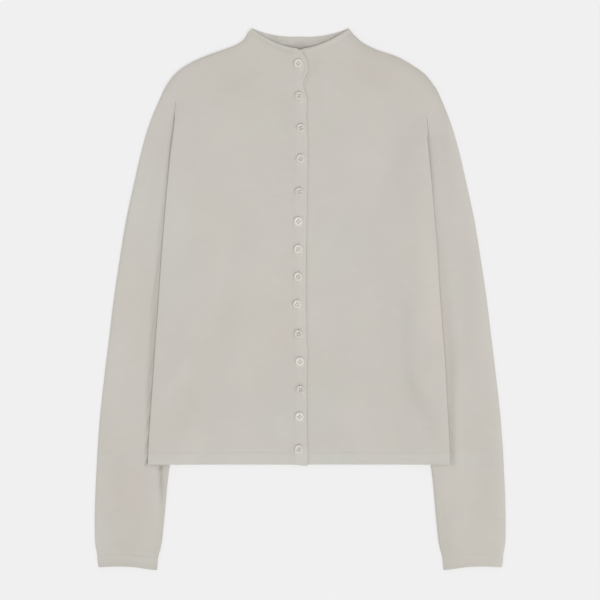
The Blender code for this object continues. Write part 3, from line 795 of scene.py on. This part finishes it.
TUBE_CELLS = 34  # across the flat sleeve
CUFF_CELL, TUBE_WALL = 1.6 * MM, 0.8 * MM
CUFF_OVERLAP, SLEEVE_OVERLAP = 0.3 * MM, 0.16 * MM  # beyond the seam between the two
CUFF_LEAN = 0.6 * MM  # outward, of a cuff's inner corner at that seam
HEAD_REACH, HEAD_DROP = 0.8 * MM, 0.12 * MM  # of a sleeve's upper end under the shoulder
HEAD_LEVEL = 26 * MM  # from that end, where the sleeve leaves the shoulder's height
# Where the sleeve leaves the shoulder's painted shade
HEAD_PAINTED_SHADE = 45 * MM  # from that end, where it leaves the shoulder's shade
HEAD_ROLL, INNER_ROLL = 0.6 * MM, 3.2 * MM  # width of the inner fold's round at that end and below,
ROLL_FROM, ROLL_TO = 4 * MM, 50 * MM  # and between which distances it grows
OUTER_ROLL, CUFF_ROLL = 3.2 * MM, 3.0 * MM
UNCOVERED = 12 * MM  # from the body's side edge or from a fold, where creases are at their full height
COVERED = 30 * MM  # under that side edge, up to where a sleeve lies even beside the body
BODY_END = -218 * MM  # Y of the hem's lower edge
SLEEVE_GRAIN = math.radians(7)

# Painted shadow on the sleeves beside the body's side edges: Y, share of darkening, distance of its middle,
# width (mm)
GUTTER_PAINTED_SHADOWS = {
    -1: [(-218, 0.36, 1.9, 1.9), (-200, 0.27, 1.7, 1.9), (-172, 0.25, 2, 2), (-110, 0.235, 3.7, 4.2),
         (-60, 0.235, 3.8, 3.6), (-14, 0.20, 5.2, 3.2), (78, 0.165, 3.2, 2.8), (144, 0.08, 3, 2),
         (208, 0.05, 2, 2), (247, 0.05, 2, 2), (262, 0, 2, 2)],
    1: [(-218, 0.18, 3.6, 4), (-172, 0.18, 4, 4), (-94, 0.12, 8, 7), (-14, 0.06, 8, 8),
        (78, 0.03, 5, 5), (144, 0.03, 3, 2), (166, 0.12, 1.4, 1.8), (183, 0.11, 1.2, 2),
        (210, 0.16, 0.8, 2.2), (226, 0.08, 0.5, 2), (238, 0, 0.5, 2)],
}
# Painted shade along the sleeves' folded edges and the cuffs' ends, painted light where below zero: share of
# darkening and width (mm) of each
Rim = namedtuple("Rim", "outer outer_width inner inner_width end end_width")
SLEEVE_RIM_PAINTED_SHADES = {-1: Rim(-0.05, 2.6, 0.06, 6.0, 0.07, 5.0), 1: Rim(-0.04, 8.0, 0.045, 11.0, 0.02, 5.0)}


class CARDIGAN_OT_sleeves(bpy.types.Operator):
    """Makes both sleeves as flattened tubes, with their cuffs"""
    bl_idname = "cardigan.sleeves"
    bl_label = "Sleeves and Cuffs"

    def execute(self, context):
        cloth, _, _ = settings()
        knit = bpy.data.materials["jersey"]
        edge_knit = knit_material("edge_jersey", cloth.colour, cloth.wale, cloth.course)
        for side, word in SIDES:
            for node, cell, material in ((f"{word}_sleeve", cloth.cell, knit),
                                         (f"cuff_{word}", CUFF_CELL, edge_knit)):
                plan = Plan(node)
                rows = round((plan.length + plan.outer_length) / 2 / cell)
                bm, widths = tube(plan, side, rows, cloth, "cuff" in node)
                area = sum(face.calc_area() for face in bm.faces)
                bmesh.ops.solidify(bm, geom=bm.faces[:], thickness=TUBE_WALL)
                piece = finished(f"cloth_{node}", bm, material, node)
                MADE[node] = (piece, (2 * widths.max(), plan.strip[0]), area, [])
        return {"FINISHED"}


def tube(plan, side, rows, cloth, cuff):
    """Flattened tube: one half of its round lies on top, the other half underneath."""
    layout = Layout()
    bm, turn, v = unit_grid(2 * TUBE_CELLS, rows)
    upper = turn <= 0.5
    share = np.where(upper, 2 * turn, 2 - 2 * turn)
    u = 0.5 * (0.5 - 0.5 * np.cos(math.pi * share)) + 0.5 * share
    places = plan.at(u, v)
    start, end = plan.at(np.zeros_like(v), v), plan.at(np.ones_like(v), v)
    head = (v > 1 - SAME) & (not cuff)
    if cuff:
        places += np.stack([side * CUFF_LEAN * u * v, CUFF_OVERLAP * (v > 1 - SAME)], 1)
    else:
        onward = plan.upper[-1] - plan.upper[0]
        onward = np.array((onward[1], -onward[0])) * side / np.hypot(*onward)
        places[:, 1] -= SLEEVE_OVERLAP * (v < SAME)
        places += head[:, None] * onward * HEAD_REACH
    outer_away, inner_away = np.hypot(*(places - start).T), np.hypot(*(places - end).T)
    body_edge = layout.side_edges[side]
    outward = np.abs(places[:, 0]) - np.interp(places[:, 1], body_edge[:, 1], np.abs(body_edge[:, 0]))
    shown = np.where(places[:, 1] < BODY_END, 1.0, smooth(0, UNCOVERED, outward))
    height = layout.sleeves[side].at(places)
    folds = crease_heights(SLEEVE_CREASES, places) * shown
    if cuff:
        top, inner_roll = height + folds, CUFF_ROLL
    else:
        from_head = distances(plan.upper, places)
        sewn = 1 - smooth(0, HEAD_LEVEL, from_head)
        beside_body = (smooth(BODY_END - 14 * MM, BODY_END - 2 * MM, places[:, 1])
                       * (1 - smooth(0, COVERED, -outward)))
        free = smooth(0, UNCOVERED, np.minimum(outer_away, inner_away)) * (1 - beside_body)
        height = height + (front_heights(side, cloth)[0](places) - height) * sewn
        uneven = waviness(places, cloth.wave, SLEEVE_RIPPLES) * free * shown
        top = height + (folds + uneven) * (1 - sewn)
        inner_roll = HEAD_ROLL + (INNER_ROLL - HEAD_ROLL) * smooth(ROLL_FROM, ROLL_TO, from_head)
    roll = np.maximum(rounding(outer_away, OUTER_ROLL), rounding(inner_away, inner_roll))
    middle = height / 2
    z = np.where(upper, middle + (top - middle) * (1 - roll), middle * roll) - HEAD_DROP * (upper & head)
    # Painted shading of the sleeve: soft areas, troughs, shadows beside the body and the rims
    painted_shades = soft_areas(places, SLEEVE_PAINTED_SHADES) - folds * CREASE_PAINTED_SHADE
    painted_shades += gutter_painted_shadows(side, places, outward)
    painted_shades += rim_painted_shades(side, plan, places, outer_away, inner_away, cuff)
    for vert, (x, y), level in zip(bm.verts, places, z):
        vert.co = (x, y, level)
    set_cloth_layers(bm, painted_shades, -side * SLEEVE_GRAIN)
    bmesh.ops.remove_doubles(bm, verts=bm.verts, dist=SAME)
    bmesh.ops.recalc_face_normals(bm, faces=bm.faces)
    return bm, np.hypot(*(end - start).T)


def gutter_painted_shadows(side, places, outward):
    """A painted shadow on the sleeve beside the body's edge, steeper towards the body."""
    heights, *columns = np.array(GUTTER_PAINTED_SHADOWS[side]).T
    share, middle, width = (np.interp(places[:, 1], heights * MM, column) for column in columns)
    off = outward / MM - middle
    above_hem = smooth(BODY_END - 4 * MM, BODY_END + 2 * MM, places[:, 1])
    return share * above_hem * swell(off, np.where(off < 0, 0.5 * middle + 0.5, width))


def rim_painted_shades(side, plan, places, outer_away, inner_away, cuff):
    """Painted shade along the folded edges, lighter on the outer fold, the shoulder's own at a sleeve's head,
    and a cuff's end.
    """
    rim = SLEEVE_RIM_PAINTED_SHADES[side]
    head = 0.0 if cuff else 1 - smooth(0, HEAD_PAINTED_SHADE, distances(plan.upper, places))
    share, width = SHOULDER_PAINTED_SHADES[side]
    below_hem = 1 - smooth(BODY_END - 4 * MM, BODY_END + 4 * MM, places[:, 1])
    painted_shades = (rim.outer * (1 - head) * swell(outer_away, rim.outer_width * MM)
              + share * head * swell(outer_away, width * MM)
              + rim.inner * below_hem * swell(inner_away, rim.inner_width * MM))
    if cuff:
        painted_shades += rim.end * swell(distances(plan.lower, places), rim.end_width * MM)
    return painted_shades


# --- Bands and edges ---

PUCKER, PUCKER_WIDTH = 0.8 * MM, 1.8 * MM  # height and half width of the cloth round a button
THICKENS_FROM, THICKENS_TO = 285 * MM, 297 * MM  # Y between which the lap's edge turns thicker
RIB, RIB_HEIGHT = 1.5 * MM, 0.12 * MM
RIBS_END, RIBS_GONE = 7 * MM, 10 * MM  # from the neck's edge
TUCK_HEIGHT, TUCK_SQUEEZE = 0.12 * MM, (3.0, 1.0)  # unevenness of the hem, shorter across


class CARDIGAN_OT_bands(bpy.types.Operator):
    """Makes the front bands, the neck edge and the hem band"""
    bl_idname = "cardigan.bands"
    bl_label = "Bands and Edges"

    def execute(self, context):
        cloth, _, _ = settings()
        knit = bpy.data.materials["edge_jersey"]
        for side, word in SIDES:
            # Each band's line: distance from its free edge and share of a painted dark line there
            for node, cells, free, reach, line, below in (
                (f"hem_{word}", (78, 9), "lower", (0, 0, CLOSE, CLOSE), (0.4 * MM, 0.04), "back"),
                (f"neck_band_{word}", (60, 12), "upper", (CLOSE, 0, 0, CLOSE),
                 (5.6 * MM, 0.075 if side < 0 else 0.0), "back"),
                (f"{word}_front_band", (18, 480), "outer", (0, 0, 0, BAND_REACH), (0, 0),
                 "left_front_band" if side < 0 else "back"),
            ):
                edge = getattr(Plan(node), free)
                lay_sheet(node, knit, cells, front_heights(side, cloth, node, edge),
                          front_painted_shades(side, edge, *line), reach, Plan(node).strip, [below])
        for node, cells, free, reach, below in (
            ("hem_back", (110, 6), "lower", (0, 0, CLOSE, 0), ["right_sleeve", "left_sleeve"]),
            ("neck_band_back", (80, 8), "upper", (CLOSE, 0, 0, 0), []),
        ):
            lay_sheet(node, knit, cells, back_heights(cloth, node, getattr(Plan(node), free)),
                      back_painted_shades(), reach, Plan(node).strip, below)
        return {"FINISHED"}


def button_round(node):
    """Centre in plan and radius of a button."""
    low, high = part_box(node)
    return (low + high).xy / 2, (high.x - low.x) / 2


def button_pucker(places):
    """Cloth pushed up round each button."""
    total = np.zeros(len(places))
    for node in BUTTON_NODES:
        centre, radius = button_round(node)
        total += PUCKER * swell(np.hypot(*(places - np.array(centre)).T) - radius, PUCKER_WIDTH)
    return total


def bead(away, height, middle, width):
    """A raised line along an edge: its height, distance from the edge and half width in mm."""
    return height * MM * swell(away - middle * MM, width * MM)


def edge_relief(node, places, away):
    """Raised bead, tuck or rib of an edge, by the distance from its free line."""
    if node in ("neck_band_right", "neck_band_left"):
        return bead(away, 0.45, 2.8, 1.9) - bead(away, 0.22, 5.8, 1.3) * (places[:, 0] < 0)
    if node == "neck_band_back":
        ribs = RIB_HEIGHT * np.cos(away / RIB * 2 * math.pi)
        return ribs * smooth(0, 2 * MM, away) * (1 - smooth(RIBS_END, RIBS_GONE, away))
    if node in ("hem_right", "hem_left"):
        tucks = waviness(places * np.array(TUCK_SQUEEZE), TUCK_HEIGHT, HEM_RIPPLES)
        return bead(away, 0.10, 15.0, 1.2) + tucks * smooth(0, 3 * MM, away)
    if node == "right_front_band":
        thick = smooth(THICKENS_FROM, THICKENS_TO, places[:, 1])
        edging = bead(away, 0.36 + 0.5 * thick, 2.7, 1.4) - bead(away, 0.3 * thick, 6.0, 1.5)
        return edging + button_pucker(places)
    return 0.0


# --- Buttons ---

DISH_SHARE = 0.82  # height of a button's middle as a share of its whole height
# Outline of the rim from the dish outward: distance in from the edge (rims), share of the height
RIM_OUTLINE = ((1.35, 0.95), (1.05, 1.0), (0.7, 0.97), (0.35, 0.84), (0.1, 0.66), (0.0, 0.5), (0.08, 0.34),
               (0.35, 0.16), (1.1, 0.0))
# Brightness of each button
PEARL_TONES = (1.12, 1.04, 1.02, 1.08, 1.03, 1.2, 1.15, 1.1, 1.14, 1.03, 1.2, 1.0, 1.18, 1.08)
PEARL_SHIFT = Vector((0.031, 0.017, 0.05))  # from one button's pattern to the next
TURN_STEP = 37  # degrees from one button to the next
THREAD_COLOUR = (0.62, 0.60, 0.555)
BUTTON_SHARP = 35  # degrees above which an edge of a button stays sharp


class CARDIGAN_OT_buttons(bpy.types.Operator):
    """Turns the buttons and sews them on with thread"""
    bl_idname = "cardigan.buttons"
    bl_label = "Buttons"

    def execute(self, context):
        _, button, _ = settings()
        thread = thread_material("thread", THREAD_COLOUR)
        for index, (node, tone) in enumerate(zip(BUTTON_NODES, PEARL_TONES)):
            low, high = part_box(node)
            centre = (low + high) / 2
            pearl = pearl_material(f"pearl_{index + 1:02d}", Vector(button.pearl) * tone, PEARL_SHIFT * index)
            turn = Matrix.Rotation(math.radians(index * TURN_STEP % 90 - 45), 3, "Z")
            for name, bm, material, stands_for, slot in (
                (f"pearl_{node}", button_mesh(high - low, button), pearl, node, "pearl"),
                (f"thread_{node}", thread_mesh(high - low, button), thread, None, "band_knit"),
            ):
                bmesh.ops.rotate(bm, verts=bm.verts, cent=(0, 0, 0), matrix=turn)
                bmesh.ops.translate(bm, verts=bm.verts, vec=(centre.x, centre.y, low.z))
                finished(name, bm, material, stands_for, slot, BUTTON_SHARP)
        return {"FINISHED"}


def button_mesh(size, button):
    """A turned four-hole button: dished middle, round rim, holes cut through."""
    radius, height, rim = size.x / 2, size.z, button.rim
    dish = DISH_SHARE * height
    profile = [(0.0, dish), (radius - 2.3 * rim, dish), (radius - 1.8 * rim, dish + 0.05 * height),
               *((radius - inward * rim, share * height) for inward, share in RIM_OUTLINE), (0.0, 0.0)]
    bm = bmesh.new()
    verts = [bm.verts.new((r, 0, z)) for r, z in profile]
    edges = [bm.edges.new(pair) for pair in zip(verts, verts[1:])]
    bmesh.ops.spin(bm, geom=verts + edges, cent=(0, 0, 0), axis=(0, 0, 1), angle=2 * math.pi, steps=40,
                   use_merge=True)
    bmesh.ops.remove_doubles(bm, verts=bm.verts, dist=SAME)
    bmesh.ops.recalc_face_normals(bm, faces=bm.faces)
    drill, bore = bmesh.new(), button.hole / 2
    for sx, sy in ((-1, -1), (-1, 1), (1, -1), (1, 1)):
        place = Matrix.Translation((sx * button.pitch / 2, sy * button.pitch / 2, 0))
        bmesh.ops.create_cone(drill, cap_ends=True, segments=14, radius1=bore, radius2=bore,
                              depth=4 * height, matrix=place)
    blank, drills = linked("blank", mesh_of("blank", bm)), linked("drill", mesh_of("drill", drill))
    holes = blank.modifiers.new("holes", "BOOLEAN")
    holes.operation = "DIFFERENCE"
    holes.object = drills
    done = bmesh.new()
    done.from_object(blank, bpy.context.evaluated_depsgraph_get())
    for shape in (blank, drills):
        bpy.data.objects.remove(shape)
    return done


def thread_mesh(size, button):
    """Thread through the four holes: two strands over the middle of each pair."""
    bm = bmesh.new()
    dish, half = DISH_SHARE * size.z, button.pitch / 2
    rest = dish + 0.35 * button.thread
    for sy in (-1, 1):
        for offset in (-0.42, 0.42):
            y = sy * half + offset * button.thread
            path = [(-half, 0.1 * size.z), (-half, dish * 0.8), (-half * 0.72, rest), (0, rest * 1.02),
                    (half * 0.72, rest), (half, dish * 0.8), (half, 0.1 * size.z)]
            strand(bm, [Vector((x, y, z)) for x, z in path], button.thread * 0.4, 6)
    return bm


def strand(bm, path, radius, sides):
    """A round strand: a disc carried along a path and closed at both ends."""
    start = (path[1] - path[0]).to_track_quat("Z", "Y").to_matrix().to_4x4()
    disc = bmesh.ops.create_circle(bm, cap_ends=True, segments=sides, radius=radius,
                                   matrix=Matrix.Translation(path[0]) @ start)
    face = disc["verts"][0].link_faces[0]
    before = (path[1] - path[0]).normalized()
    for index in range(1, len(path)):
        after = (path[min(index + 1, len(path) - 1)] - path[index - 1]).normalized()
        made = bmesh.ops.extrude_face_region(bm, geom=[face])
        face = next(item for item in made["geom"] if isinstance(item, bmesh.types.BMFace))
        bmesh.ops.translate(bm, verts=face.verts[:], vec=path[index] - path[index - 1])
        turn = before.rotation_difference(after).to_matrix()
        bmesh.ops.rotate(bm, verts=face.verts[:], cent=path[index], matrix=turn)
        before = after
    bmesh.ops.recalc_face_normals(bm, faces=bm.faces)


# --- Stitching ---

LINK_SLANT = math.radians(38)
LINK_SIZE = 1.5 * MM, 0.42 * MM  # length and width of a linking stitch
HOLE_STITCH_SIZE = 1.3 * MM, 0.4 * MM  # the same of a buttonhole's stitches
HOLE_STITCH_CLEAR = 0.2 * MM  # least distance of their middles from the button
SLIT, SLIT_END = 5.8 * MM, 1.3 * MM  # half length of a buttonhole, radius of its rounded ends
END_STITCHES, SIDE_STITCHES, SIDE_STEP = 9, 3, 0.55 * MM


class CARDIGAN_OT_stitching(bpy.types.Operator):
    """Links the bands, the neck edge, the hem and the cuffs with stitches and works the buttonholes"""
    bl_idname = "cardigan.stitching"
    bl_label = "Stitching"

    def execute(self, context):
        cloth, _, _ = settings()
        yarn = thread_material("yarn", cloth.colour)
        arms = [node for node in MADE if "sleeve" in node or "cuff" in node]
        body, arms = cloth_tree([node for node in MADE if node not in arms]), cloth_tree(arms)
        for name, tree, seams in (
            ("hem_stitches", body, [Plan(f"hem_{word}").upper for _, word in SIDES]),
            ("neck_stitches", body, [Plan(f"neck_band_{word}").lower for _, word in SIDES]),
            ("band_stitches", body, [Plan("right_front_band").inner]),
            ("cuff_stitches", arms, [Plan(f"cuff_{word}").upper for _, word in SIDES]),
        ):
            bm = bmesh.new()
            for seam in seams:
                link_seam(bm, tree, seam, cloth.stitch)
            finished(name, bm, yarn, None, SLOTS["right_front_band"])
        bm = bmesh.new()
        for node in BUTTON_NODES:
            buttonhole(bm, body, node)
        finished("buttonholes", bm, yarn, None, SLOTS["right_front_band"])
        return {"FINISHED"}


def cloth_tree(nodes):
    """The finished cloth of some pieces, to be hit by rays."""
    bm = bmesh.new()
    for node in nodes:
        bm.from_mesh(MADE[node][0].data)
    tree = BVHTree.FromBMesh(bm)
    bm.free()
    return tree


def stitch(bm, tree, spot, along, size):
    """One stitch: a slim rounded form along a direction in plan, half sunk into the cloth."""
    hit, normal, _, _ = tree.ray_cast(Vector((*spot, 1.0)), DOWN)
    if hit is None:
        return
    length, width = size
    across = normal.cross(Vector((*along, 0))).normalized()
    turned = Matrix((across, normal, across.cross(normal))).transposed().to_4x4()
    matrix = Matrix.Translation(hit) @ turned @ Matrix.Diagonal((width / 2, width / 2, length / 2, 1))
    bmesh.ops.create_uvsphere(bm, u_segments=6, v_segments=4, radius=1, matrix=matrix)


def link_seam(bm, tree, seam, pitch):
    """Slanted stitches over a seam."""
    run = lengths_along(seam)
    slant = Matrix.Rotation(LINK_SLANT, 2)
    starts = np.arange(1.5 * pitch, run[-1] - pitch, pitch)
    for spot, ahead in zip(read_route(seam, run, starts), read_route(seam, run, starts + pitch)):
        stitch(bm, tree, spot, slant @ Vector(ahead - spot).normalized(), LINK_SIZE)


def buttonhole(bm, tree, node):
    """Close stitches round an upright slit, where they come out from under the button."""
    centre, radius = button_round(node)
    for way in (-1, 1):
        top = centre + Vector((0, way * SLIT))
        turns = np.linspace(0, math.pi, END_STITCHES)
        rays = [Vector((math.cos(turn), way * math.sin(turn))) for turn in turns]
        spots = [(top + ray * SLIT_END, ray) for ray in rays]
        spots += [(top + Vector((edge * SLIT_END, -way * (step + 1) * SIDE_STEP)), Vector((edge, 0)))
                  for edge in (-1, 1) for step in range(SIDE_STITCHES)]
        for spot, outward in spots:
            if (spot - centre).length > radius + HOLE_STITCH_CLEAR:
                stitch(bm, tree, spot, outward, HOLE_STITCH_SIZE)


class CARDIGAN_OT_cuts(bpy.types.Operator):
    """Works out the cut area of every piece of cloth, and keeps nothing of it"""
    bl_idname = "cardigan.cuts"
    bl_label = "Cuts"

    def execute(self, context):
        sewn_to = {"right_front": "neck_band_right", "left_front": "neck_band_left", "back": "neck_band_back"}
        for node, (piece, flat, area, rests_on) in MADE.items():
            if node in sewn_to.values():
                continue
            edging = [MADE[sewn_to[node]][0]] if node in sewn_to else []
            min(area, flat[0] * flat[1])
        return {"FINISHED"}


# --- Stage ---

PICTURE_CENTRE = (-0.33 * MM, -1.32 * MM)
FLOOR_DROP, FLOOR_SIZE = 0.3 * MM, 6.0
FILL_SHARE = 0.22  # of the key light's strength
KEY_SIDE, KEY_SOFTNESS = (0.34, -0.52, 0.85), 34
FILL_SIDE, FILL_SOFTNESS = (-0.8, 0.1, 1.0), 60


class CARDIGAN_OT_stage(bpy.types.Operator):
    """Sets up the pale surface, the soft light and the camera"""
    bl_idname = "cardigan.stage"
    bl_label = "Stage"

    def execute(self, context):
        _, _, stage = settings()
        scene = context.scene
        scene.view_settings.view_transform = "Standard"
        bm = bmesh.new()
        bmesh.ops.create_grid(bm, x_segments=2, y_segments=2, size=FLOOR_SIZE)
        bmesh.ops.translate(bm, verts=bm.verts, vec=DOWN * FLOOR_DROP)
        floor = linked("floor", mesh_of("floor", bm))
        floor.data.materials.append(Shader("paper").finish(
            Base_Color=(*stage.floor_colour, 1.0), Roughness=0.95, Specular_IOR_Level=0.0,
            Emission_Color=(1.0, 1.0, 1.0, 1.0), Emission_Strength=stage.floor_glow))
        world = bpy.data.worlds.new("soft_sky")
        world.use_nodes = True
        background = world.node_tree.nodes["Background"]
        background.inputs["Color"].default_value = (1, 1, 1, 1)
        background.inputs["Strength"].default_value = stage.sky
        scene.world = world
        for name, strength, direction, softness in (
            ("key", stage.key, KEY_SIDE, KEY_SOFTNESS),
            ("fill", FILL_SHARE * stage.key, FILL_SIDE, FILL_SOFTNESS),
        ):
            light = bpy.data.lights.new(name, "SUN")
            light.energy = strength
            light.angle = math.radians(softness)
            linked(name, light).rotation_euler = Vector(direction).to_track_quat("Z", "Y").to_euler()
        lens = bpy.data.cameras.new("camera")
        lens.sensor_width = 36.0
        lens.lens = lens.sensor_width * stage.distance / stage.picture
        lens.clip_end = 20.0
        scene.camera = linked("camera", lens)
        scene.camera.location = (*PICTURE_CENTRE, stage.distance)
        return {"FINISHED"}


class CARDIGAN_PT_panel(bpy.types.Panel):
    bl_idname = "CARDIGAN_PT_panel"
    bl_label = "Button Cardigan"
    bl_space_type = "VIEW_3D"
    bl_region_type = "UI"
    bl_category = "Cardigan"

    def draw(self, context):
        for group in settings():
            box = self.layout.box()
            for key in group.bl_rna.properties.keys():
                if key not in ("rna_type", "name"):
                    box.prop(group, key)
        for operator in OPERATORS:
            self.layout.operator(operator.bl_idname)


GROUPS = {"cardigan_cloth": CardiganCloth, "cardigan_buttons": CardiganButtons,
          "cardigan_stage": CardiganStage}
OPERATORS = (CARDIGAN_OT_body, CARDIGAN_OT_sleeves, CARDIGAN_OT_bands, CARDIGAN_OT_buttons,
             CARDIGAN_OT_stitching, CARDIGAN_OT_cuts, CARDIGAN_OT_stage)
CLASSES = (*GROUPS.values(), *OPERATORS, CARDIGAN_PT_panel)


def register():
    for cls in CLASSES:
        bpy.utils.register_class(cls)
    for name, group in GROUPS.items():
        setattr(bpy.types.Scene, name, PointerProperty(type=group))


def unregister():
    for name in GROUPS:
        delattr(bpy.types.Scene, name)
    for cls in reversed(CLASSES):
        bpy.utils.unregister_class(cls)


def main():
    register()
    for operator in OPERATORS:
        group, name = operator.bl_idname.split(".")
        getattr(getattr(bpy.ops, group), name)()


if __name__ == "__main__":
    main()
